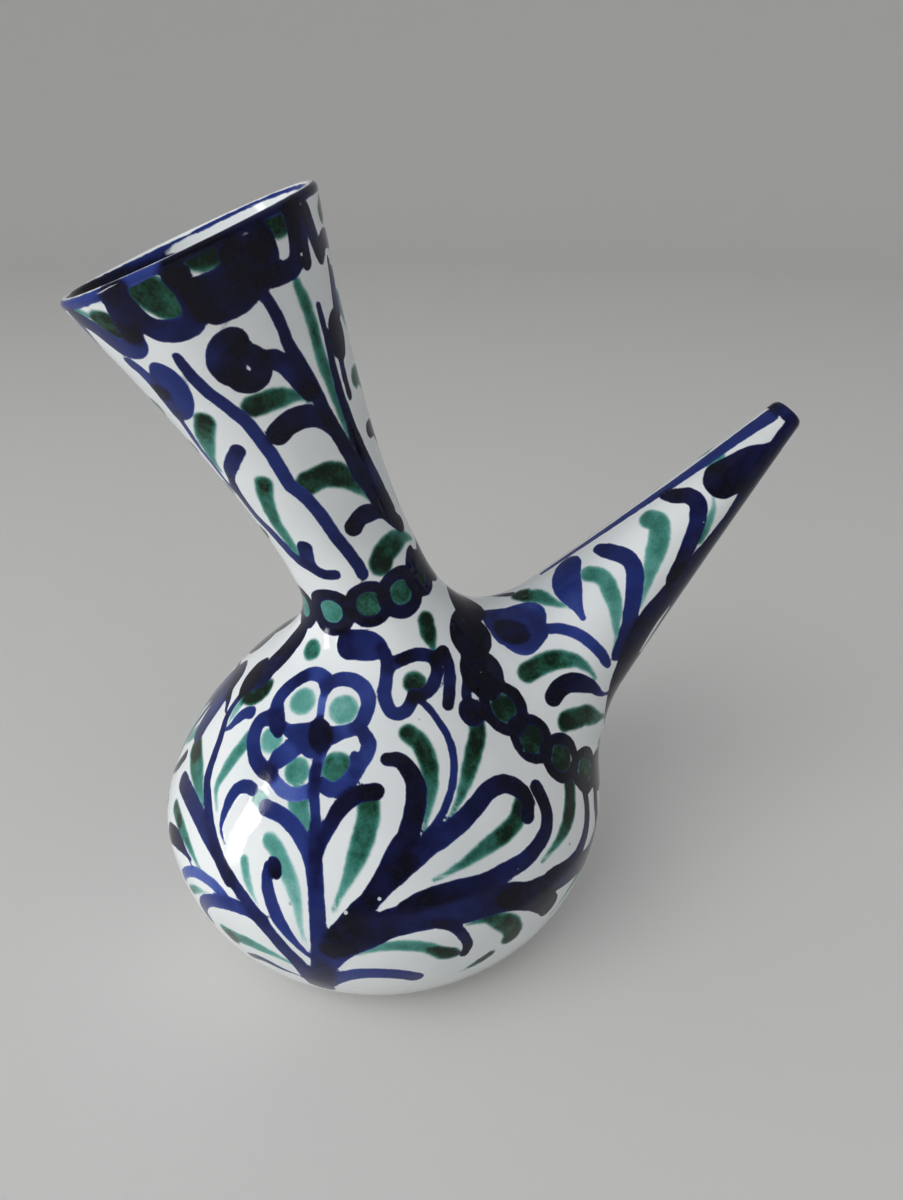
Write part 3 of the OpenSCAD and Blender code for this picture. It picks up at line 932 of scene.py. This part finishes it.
# A stroke as a run of places with the brush's half width and load at each
def strokeRun(stroke, surface, flip):
    kind = stroke["kind"]
    spot = surfaces[surface]
    pigment, load = tones[stroke["tone"]]
    half = stroke["width"] * brush["spread"] / 2
    inside = surface == "mouth"
    places = [(flip - a if flip else a, s) for a, s in stroke["places"]]
    if kind in ("dot", "ring"):
        track = ontoSkin(spot(*np.array(places, float).T))
        if kind == "ring":
            track = roundPlace(track[0], stroke["radius"], stroke["radius"])
        return pigment, track, np.full(len(track), half), np.full(len(track), load), inside
    track, t = throughPlaces(places, spot)
    track = track if inside else ontoSkin(track)
    if kind == "comma":
        rise = np.clip(t / brush["commaFull"], 0, 1)
        width = brush["commaTail"] + (1 - brush["commaTail"]) * rise ** 2 * (3 - 2 * rise)
        weight = gaining("greenLoad" if pigment == "green" else "commaLoad", t)
    elif kind == "leaf":
        width = np.maximum(np.sin(math.pi * t), brush["leafTip"]) ** brush["leafPower"]
        weight = np.ones_like(t)
    elif kind == "stem":
        width = brush["stemTip"] + (1 - brush["stemTip"]) * t
        weight = gaining("greenLoad" if pigment == "green" else "stemLoad", t)
    elif kind == "hook":
        width = np.interp(t, *brush["hookShape"])
        weight = gaining("hookLoad", t)
    else:
        width = np.interp(t, *brush["lineShape"])
        weight = gaining("lineLoad", np.cos(2 * math.pi * t))
    return pigment, track, half * width, load * weight, inside


# The far side is painted as the front: an angle and its mirror add up to this
mirror = {"belly": 164, "neck": 180, "spout": 160, "chain": 180}
runs = []
for surface, strokes in (
    ("belly", bellyStrokes),
    ("belly", underSpoutStrokes),
    ("neck", neckStrokes),
    ("spout", spoutStrokes),
):
    for flip in (0, mirror[surface]):
        runs += [strokeRun(stroke, surface, flip) for stroke in strokes]
runs += [strokeRun(stroke, "spout", 0) for stroke in spoutTopStrokes]
backMost = -80  # links of a chain further round than this are drawn once


# Each link of a chain is drawn a little differently and has a heart
def chainRuns(links, surface, flip):
    angles, along = np.array([place[:2] for place in links["places"]], float).T
    centres = ontoSkin(surfaces[surface](flip - angles if flip else angles, along))
    ways = np.gradient(centres, axis=0)
    pigment, load = tones[links["tone"]]
    drawn = []
    for turn, (centre, way, (angle, distance, heart)) in enumerate(zip(centres, ways, links["places"])):
        if flip and angle < backMost:
            continue
        uneven = links["unevenness"] * math.sin(links["rhythm"] * turn + flip)
        drawn.append(strokeRun(dot(heart, links["heart"] - uneven, angle, distance), surface, flip))
        give = links["give"] * uneven
        track = roundPlace(centre, links["long"] + give, links["wide"] + give, way)
        half = np.full(len(track), (links["line"] + uneven) / 2)
        drawn.append((pigment, track, half, np.full(len(track), load), False))
    return drawn


surfaces["seam"] = onTube(spout, -spoutChain["out"])
for flip in (0, mirror["chain"]):
    runs += chainRuns(neckChain, "neck", flip)
    runs += chainRuns(spoutChain, "seam", flip)

# lines that run right round: under the rim, inside the lip and at the spout's tip; with painted shade on
# part of the rim's line and inside the mouth
roundLines = {
    "rim": 93.4,
    "rimWidth": 2.2,
    "rimSway": 0.4,
    "shade": ((-6, 93.4), (20, 93.5), (50, 93.5), (100, 93.4)),  # painted shade: the rim's line drawn darker over the front and right side
    "paintedShadeWidth": 1.8,
    "lip": 93.6,
    "lipWidth": 1.3,
    "lipSway": 0.5,
    "mouthShade": 91.0,  # painted shade: a black band inside the mouth, on the left side only
    "mouthShadeWidth": 6.0,
    "mouthShadeTurn": 15,
    "tip": 155.2,
    "tipWidth": 3.4,
    "sway": 0.7,
    "waves": 3,
    "phase": 40,
}
allRound = np.arange(-180, 181, 10)
sway = roundLines["sway"] * np.sin(np.radians(allRound * roundLines["waves"] + roundLines["phase"]))
left = slice(3, 16)  # the steps that the painted shade inside the mouth takes
rim = zip(allRound, roundLines["rim"] + roundLines["rimSway"] * sway)
lip = zip(allRound, roundLines["lip"] + roundLines["lipSway"] * sway)
mouthShade = zip(allRound[left] - roundLines["mouthShadeTurn"], roundLines["mouthShade"] + sway[left])
tip = [(angle, roundLines["tip"]) for angle in allRound]
for surface, stroke in (
    ("neck", line("blue", roundLines["rimWidth"], *rim)),
    # painted shade on the rim's line, over the front and right
    ("neck", line("black", roundLines["paintedShadeWidth"], *roundLines["shade"])),
    ("mouth", line("blue", roundLines["lipWidth"], *lip)),
    # painted shade inside the mouth, on its left side
    ("mouth", hook("black", roundLines["mouthShadeWidth"], *mouthShade)),
    ("spout", line("navy", roundLines["tipWidth"], *tip)),
):
    runs.append(strokeRun(stroke, surface, 0))
print(len(runs), "brush strokes laid out")

coat = {
    "far": 6.0,  # edges further off than this don't matter
    "crossing": 0.35,  # how much crossing strokes darken each other
    "skin": 1.2,  # depth that still counts as outside
    "fade": 1.2,  # how far the load reaches past a stroke's edge
    "mostLoad": 0.98,
    "footHeight": 0.4,  # bare clay where the glaze was wiped off the foot
    "footStart": 1.2,
    "footSkin": 2.0,
    "tipRadius": 2.2,  # and at the outlet
    "tipFade": 0.8,
}


# Writes the paint onto a piece: how far each vertex lies outside a stroke, and the load there
def paint(form):
    count = len(form.data.vertices)
    spots = np.empty(count * 3, np.float32)
    form.data.vertices.foreach_get("co", spots)
    spots = spots.reshape(-1, 3).astype(float) / mm
    depth = skinGap(spots)
    outside = depth > -coat["skin"]
    edge = {"blue": np.full(count, coat["far"]), "green": np.full(count, coat["far"])}
    clear = {"blue": np.ones(count), "green": np.ones(count)}
    heaviest = {"blue": np.zeros(count), "green": np.zeros(count)}
    for pigment, track, half, load, inside in runs:
        room = half.max() + coat["far"]
        near = ((spots > track.min(0) - room) & (spots < track.max(0) + room)).all(1)
        near = np.flatnonzero(near & (~outside if inside else outside))
        if not len(near):
            continue
        gaps = np.linalg.norm(spots[near][:, None] - track[None], axis=2) - half
        best = gaps.argmin(1)
        gap = gaps[np.arange(len(near)), best]
        edge[pigment][near] = np.minimum(edge[pigment][near], gap)
        cover = np.clip(1 - gap / coat["fade"], 0, 1)
        here = np.clip(load[best], 0, coat["mostLoad"]) * cover
        clear[pigment][near] *= 1 - here
        heaviest[pigment][near] = np.maximum(heaviest[pigment][near], here)
    for pigment in ("blue", "green"):
        laid = heaviest[pigment] + coat["crossing"] * (1 - clear[pigment] - heaviest[pigment])
        for name, values in (("Edge", edge[pigment]), ("Load", laid)):
            layer = form.data.attributes.new(pigment + name, "FLOAT", "POINT")
            layer.data.foreach_set("value", values.astype(np.float32))
    outlet = spout["root"] + spout["length"] * spout["axis"]
    fromOutlet = np.linalg.norm(spots - outlet, axis=1) - coat["tipRadius"]
    bare = np.clip(coat["footStart"] - spots[:, 2] / coat["footHeight"], 0, 1) * (depth > -coat["footSkin"])
    bare = np.maximum(bare, np.clip(1 - fromOutlet / coat["tipFade"], 0, 1))
    layer = form.data.attributes.new("bareClay", "FLOAT", "POINT")
    layer.data.foreach_set("value", bare.astype(np.float32))


for form in pieces.values():
    paint(form)
print("pieces painted")

glaze = {
    "white": (0.80, 0.83, 0.84, 1),
    "shade": (0.71, 0.745, 0.76, 1),
    "speck": (0.22, 0.20, 0.19, 1),
    "clay": (0.42, 0.25, 0.14, 1),
    "roughness": (0.03, 0.13),
    "roughScale": 120,
    "roughPatches": (0.3, 0.75),
    "ior": 1.5,
    "specular": 0.2,
    "patchScale": 28,
    "patches": (0.35, 0.68),
    "speckScale": 170,  # specks in a metre, before they thin out
    "speckPatches": 90,
    "speckSize": 0.09,
    "speckStrength": 0.6,
    "swellScale": 45,
    "swell": 0.55,  # heights are in millimetres
    "rippleScale": 420,
    "ripple": 0.035,
    "pit": -0.03,
}
brushwork = {
    "handScale": 420,
    "thickScale": 230,
    "grainScale": 1300,
    "greenBleed": 0.7,
    "greenEdge": (0.5, -0.4),
    "greenDeep": (0.3, -1.3, 0.55, 1.05),
    "greenThick": (0.25, 0.75, 0.8, 1.18),
    "greenGrain": (0.3, 0.7, 0.93, 1.07),
    "blueBleed": 0.5,
    "blueEdge": (0.16, -0.16),
    "blueDeep": (0.2, -0.7, 0.88, 1.02),
    "blueThick": (0.25, 0.75, 0.94, 1.05),
    "pinholeScale": 240,
    "pinholePatches": 75,
    "pinholeSize": 0.13,
    "pinholeStrength": 0.75,
    "clayBleed": 0.5,
    "clayEdge": (0.42, 0.58),
    "clayRoughness": 0.6,
    "roughness": 0.03,
    "relief": 0.03,
}
cobalt = (
    (0.0, (0.25, 0.36, 0.66, 1)),
    (0.35, (0.050, 0.085, 0.34, 1)),
    (0.6, (0.015, 0.030, 0.17, 1)),
    (0.85, (0.005, 0.007, 0.050, 1)),
    (1.0, (0.002, 0.002, 0.009, 1)),
)
copper = (
    (0.0, (0.45, 0.70, 0.68, 1)),
    (0.3, (0.105, 0.33, 0.295, 1)),
    (0.55, (0.036, 0.175, 0.142, 1)),
    (0.8, (0.010, 0.060, 0.034, 1)),
    (1.0, (0.002, 0.012, 0.006, 1)),
)


def addNode(tree, kind, **settings):
    made = tree.nodes.new(kind)
    for name, value in settings.items():
        setattr(made, name, value)
    return made


def fill(node, values):
    for name, value in values.items():
        node.inputs[name].default_value = value
    return node


def mathNode(tree, operation, first, second):
    made = addNode(tree, "ShaderNodeMath", operation=operation)
    for socket, value in zip(made.inputs, (first, second)):
        if isinstance(value, (int, float)):
            socket.default_value = value
        else:
            tree.links.new(value, socket)
    return made.outputs[0]


def noiseNode(tree, place, scale, detail, rough=0.5):
    made = fill(addNode(tree, "ShaderNodeTexNoise"), {"Scale": scale, "Detail": detail, "Roughness": rough})
    tree.links.new(place, made.inputs["Vector"])
    return made.outputs["Fac"]


def rangeNode(tree, value, fromLow, fromHigh, toLow=0.0, toHigh=1.0):
    made = addNode(tree, "ShaderNodeMapRange", interpolation_type="SMOOTHSTEP")
    fill(made, {"From Min": fromLow, "From Max": fromHigh, "To Min": toLow, "To Max": toHigh})
    tree.links.new(value, made.inputs["Value"])
    return made.outputs["Result"]


def rampNode(tree, value, stops):
    made = addNode(tree, "ShaderNodeValToRGB")
    marks = made.color_ramp.elements
    for at, colour in stops[1:-1]:
        marks.new(at)
    for mark, (at, colour) in zip(marks, stops):
        mark.position = at
        mark.color = colour
    tree.links.new(value, made.inputs["Fac"])
    return made.outputs["Color"]


def mixColours(tree, share, first, second):
    made = addNode(tree, "ShaderNodeMix", data_type="RGBA")
    for socket, value in ((made.inputs[0], share), (made.inputs[6], first), (made.inputs[7], second)):
        if isinstance(value, (int, float, tuple)):
            socket.default_value = value
        else:
            tree.links.new(value, socket)
    return made.outputs[2]


# Small scattered spots, the largest where a wider noise is high
def specksNode(tree, place, scale, patchScale, most, where=(0.55, 0.75)):
    spots = fill(addNode(tree, "ShaderNodeTexVoronoi", feature="F1"), {"Scale": scale, "Randomness": 1})
    tree.links.new(place, spots.inputs["Vector"])
    size = rangeNode(tree, noiseNode(tree, place, patchScale, 1), *where, 0.0, most)
    return mathNode(tree, "LESS_THAN", spots.outputs["Distance"], size)


def putOut(tree, colour, roughness, height):
    out = addNode(tree, "NodeGroupOutput")
    for name, value in (("Color", colour), ("Roughness", roughness), ("Height", height)):
        kind = "NodeSocketColor" if name == "Color" else "NodeSocketFloat"
        tree.interface.new_socket(name, in_out="OUTPUT", socket_type=kind)
        tree.links.new(value, out.inputs[name])
    return tree


# Tin glaze: white with greyer patches, specks and a slightly uneven surface
def tinGlazeGroup():
    tree = bpy.data.node_groups.new("tinGlaze", "ShaderNodeTree")
    tree.interface.new_socket("Place", in_out="INPUT", socket_type="NodeSocketVector")
    place = addNode(tree, "NodeGroupInput").outputs["Place"]
    patches = rangeNode(tree, noiseNode(tree, place, glaze["patchScale"], 3), *glaze["patches"])
    colour = mixColours(tree, patches, glaze["white"], glaze["shade"])
    speckHere = specksNode(tree, place, glaze["speckScale"], glaze["speckPatches"], glaze["speckSize"])
    speckShare = mathNode(tree, "MULTIPLY", speckHere, glaze["speckStrength"])
    colour = mixColours(tree, speckShare, colour, glaze["speck"])
    swell = mathNode(tree, "MULTIPLY", noiseNode(tree, place, glaze["swellScale"], 2), glaze["swell"])
    ripple = mathNode(tree, "MULTIPLY", noiseNode(tree, place, glaze["rippleScale"], 2), glaze["ripple"])
    pits = mathNode(tree, "MULTIPLY", speckHere, glaze["pit"])
    height = mathNode(tree, "ADD", mathNode(tree, "ADD", swell, ripple), pits)
    dull = noiseNode(tree, place, glaze["roughScale"], 3)
    roughness = rangeNode(tree, dull, *glaze["roughPatches"], *glaze["roughness"])
    return putOut(tree, colour, roughness, height)


# Brushwork: lays the green, then the blue, over the glaze
def brushworkGroup():
    tree = bpy.data.node_groups.new("brushwork", "ShaderNodeTree")
    for name in ("Blue Edge", "Blue Load", "Green Edge", "Green Load", "Bare Clay", "Roughness", "Height"):
        tree.interface.new_socket(name, in_out="INPUT", socket_type="NodeSocketFloat")
    tree.interface.new_socket("Glaze", in_out="INPUT", socket_type="NodeSocketColor")
    tree.interface.new_socket("Place", in_out="INPUT", socket_type="NodeSocketVector")
    given = addNode(tree, "NodeGroupInput").outputs
    place = given["Place"]
    hand = mathNode(tree, "SUBTRACT", noiseNode(tree, place, brushwork["handScale"], 2), 0.5)
    thick = noiseNode(tree, place, brushwork["thickScale"], 3)
    grain = noiseNode(tree, place, brushwork["grainScale"], 2)

    def shaky(name, bleed):
        return mathNode(tree, "ADD", given[name], mathNode(tree, "MULTIPLY", hand, brushwork[bleed]))

    def scaled(value, by, limits):
        return mathNode(tree, "MULTIPLY", value, rangeNode(tree, by, *brushwork[limits]))

    # green bleeds a little into the glaze and pales towards its edge
    greenEdge = shaky("Green Edge", "greenBleed")
    greenHere = rangeNode(tree, greenEdge, *brushwork["greenEdge"])
    greenLoad = scaled(given["Green Load"], greenEdge, "greenDeep")
    greenLoad = scaled(greenLoad, thick, "greenThick")
    greenLoad = scaled(greenLoad, grain, "greenGrain")
    # blue has a crisper edge, and pinholes where the glaze shows through
    blueEdge = shaky("Blue Edge", "blueBleed")
    blueHere = rangeNode(tree, blueEdge, *brushwork["blueEdge"])
    pinholes = specksNode(
        tree, place, brushwork["pinholeScale"], brushwork["pinholePatches"], brushwork["pinholeSize"]
    )
    pinholes = mathNode(tree, "MULTIPLY", pinholes, brushwork["pinholeStrength"])
    blueHere = mathNode(tree, "MULTIPLY", blueHere, mathNode(tree, "SUBTRACT", 1.0, pinholes))
    blueLoad = scaled(given["Blue Load"], blueEdge, "blueDeep")
    blueLoad = scaled(blueLoad, thick, "blueThick")
    colour = mixColours(tree, greenHere, given["Glaze"], rampNode(tree, greenLoad, copper))
    colour = mixColours(tree, blueHere, colour, rampNode(tree, blueLoad, cobalt))
    bareHere = rangeNode(tree, shaky("Bare Clay", "clayBleed"), *brushwork["clayEdge"])
    colour = mixColours(tree, bareHere, colour, glaze["clay"])
    cover = mathNode(tree, "MAXIMUM", greenHere, blueHere)
    dull = mathNode(tree, "MULTIPLY", cover, brushwork["roughness"])
    roughness = mathNode(tree, "ADD", given["Roughness"], dull)
    clayDull = mathNode(tree, "MULTIPLY", bareHere, brushwork["clayRoughness"])
    roughness = mathNode(tree, "ADD", roughness, clayDull)
    relief = mathNode(tree, "MULTIPLY", cover, brushwork["relief"])
    height = mathNode(tree, "ADD", given["Height"], relief)
    return putOut(tree, colour, roughness, height)


glazeUnder = tinGlazeGroup()
paintOver = brushworkGroup()


def glazeMaterial(name):
    material = bpy.data.materials.new(name)
    material.use_nodes = True
    tree = material.node_tree
    shader = tree.nodes["Principled BSDF"]
    fill(shader, {"IOR": glaze["ior"], "Specular IOR Level": glaze["specular"]})
    place = addNode(tree, "ShaderNodeTexCoord").outputs["Object"]
    under = addNode(tree, "ShaderNodeGroup", node_tree=glazeUnder)
    over = addNode(tree, "ShaderNodeGroup", node_tree=paintOver)
    tree.links.new(place, under.inputs["Place"])
    tree.links.new(place, over.inputs["Place"])
    for given, taken in (("Color", "Glaze"), ("Roughness", "Roughness"), ("Height", "Height")):
        tree.links.new(under.outputs[given], over.inputs[taken])
    for layer, socket in (
        ("blueEdge", "Blue Edge"),
        ("blueLoad", "Blue Load"),
        ("greenEdge", "Green Edge"),
        ("greenLoad", "Green Load"),
        ("bareClay", "Bare Clay"),
    ):
        reader = addNode(tree, "ShaderNodeAttribute", attribute_name=layer)
        tree.links.new(reader.outputs["Fac"], over.inputs[socket])
    bump = fill(addNode(tree, "ShaderNodeBump"), {"Strength": 1.0, "Distance": mm})
    tree.links.new(over.outputs["Height"], bump.inputs["Height"])
    tree.links.new(over.outputs["Color"], shader.inputs["Base Color"])
    tree.links.new(over.outputs["Roughness"], shader.inputs["Roughness"])
    tree.links.new(bump.outputs["Normal"], shader.inputs["Normal"])
    return material


# each piece's own glaze, and the record's slot for it
finishes = {
    "belly": ("bellyGlaze", "belly_glaze"),
    "neck": ("neckGlaze", "neck_glaze"),
    "spout": ("spoutGlaze", "spout_glaze"),
    "neck_collar": ("neckCollarGlaze", "collar_glaze"),
    "spout_collar": ("spoutCollarGlaze", "collar_glaze"),
}
for node, form in pieces.items():
    material, slot = finishes[node]
    form.data.materials.clear()
    form.data.materials.append(glazeMaterial(material))
    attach(form, "root")
    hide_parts(node)
print("glaze on all pieces")

studio = {
    "floorRadius": 1700.0,
    "bend": 900.0,
    "wallTop": 3200.0,
    "bendRows": 13,
    "floorSteps": 96,
    "floorSmooth": 60,
    "floorColour": (0.80, 0.79, 0.77, 1),
    "floorRoughness": 0.9,
    "keyPlace": (-970, -130, 200),
    "keySize": (130, 560),
    "keyPower": 4.6,
    "skyPlace": (-850, -600, 900),
    "skySize": (1000, 1000),
    "skyPower": 7.2,
    "fillPlace": (700, -1200, 700),
    "fillSize": (1000, 1000),
    "fillPower": 1.9,
    "worldLight": 0.48,
    "worldColour": (0.93, 0.96, 1.0, 1),
}
camera = {
    "eye": (-22.81, -199.91, 196.16),
    "azimuth": -11.814,
    "elevation": 27.039,
    "roll": -0.131,
    "lens": 26.4,
    "sensor": 36,
    "nearest": 10.0,
}


# A round studio sweep: a floor that bends up into a wall all round
def paleSweep():
    flat, bend = studio["floorRadius"], studio["bend"]
    outline = [(0, 0), (flat, 0)]
    for turn in np.linspace(0, math.pi / 2, studio["bendRows"])[1:]:
        outline.append((flat + bend * math.sin(turn), bend * (1 - math.cos(turn))))
    outline.append((flat + bend, studio["wallTop"]))
    sweep = turnedForm("paleSweep", outline, studio["floorSteps"])
    smoothOff(sweep, studio["floorSmooth"])
    material = bpy.data.materials.new("paleSweep")
    material.use_nodes = True
    shader = material.node_tree.nodes["Principled BSDF"]
    fill(shader, {"Base Color": studio["floorColour"], "Roughness": studio["floorRoughness"]})
    sweep.data.materials.append(material)


def softBox(name, place, size, power, mirrored):
    deselectAll()
    bpy.ops.object.light_add(type="AREA", location=Vector(place) * mm)
    lamp = bpy.context.object
    lamp.name = name
    lamp.data.shape = "RECTANGLE"
    lamp.data.size = size[0] * mm
    lamp.data.size_y = size[1] * mm
    lamp.data.energy = power
    lamp.visible_camera = False
    lamp.visible_glossy = mirrored  # whether the glaze shows it as a highlight
    towards = Vector((0, 0, belly["radius"])) - Vector(place)
    lamp.rotation_euler = towards.to_track_quat("-Z", "Y").to_euler()
    return lamp


def setCamera():
    bpy.ops.object.camera_add()
    shot = bpy.context.object
    azimuth, elevation, roll = (math.radians(camera[k]) for k in ("azimuth", "elevation", "roll"))
    right = Vector((math.cos(azimuth), math.sin(azimuth), 0))
    level = Vector((math.sin(azimuth), -math.cos(azimuth), 0))
    back = math.cos(elevation) * level + Vector((0, 0, math.sin(elevation)))
    up = back.cross(right)
    rolled = math.cos(roll) * right + math.sin(roll) * up
    upright = math.cos(roll) * up - math.sin(roll) * right
    turned = Matrix((rolled, upright, back)).transposed().to_4x4()
    shot.matrix_world = Matrix.Translation(Vector(camera["eye"]) * mm) @ turned
    shot.data.sensor_width = camera["sensor"]
    shot.data.lens = camera["lens"]
    shot.data.clip_start = camera["nearest"] * mm
    bpy.context.scene.camera = shot


def worldLight():
    world = bpy.data.worlds.new("studioWorld")
    bpy.context.scene.world = world
    world.use_nodes = True
    shine = world.node_tree.nodes["Background"]
    fill(shine, {"Color": studio["worldColour"], "Strength": studio["worldLight"]})


paleSweep()
key = softBox("windowKey", studio["keyPlace"], studio["keySize"], studio["keyPower"], True)
potOnly = bpy.data.collections.new("potOnly")
for form in pieces.values():
    potOnly.objects.link(form)
key.light_linking.receiver_collection = potOnly  # it stands low and would burn out the floor
softBox("windowSky", studio["skyPlace"], studio["skySize"], studio["skyPower"], False)
softBox("frontFill", studio["fillPlace"], studio["fillSize"], studio["fillPower"], False)
worldLight()
setCamera()
bpy.context.scene.view_settings.view_transform = "Standard"
print("studio set")
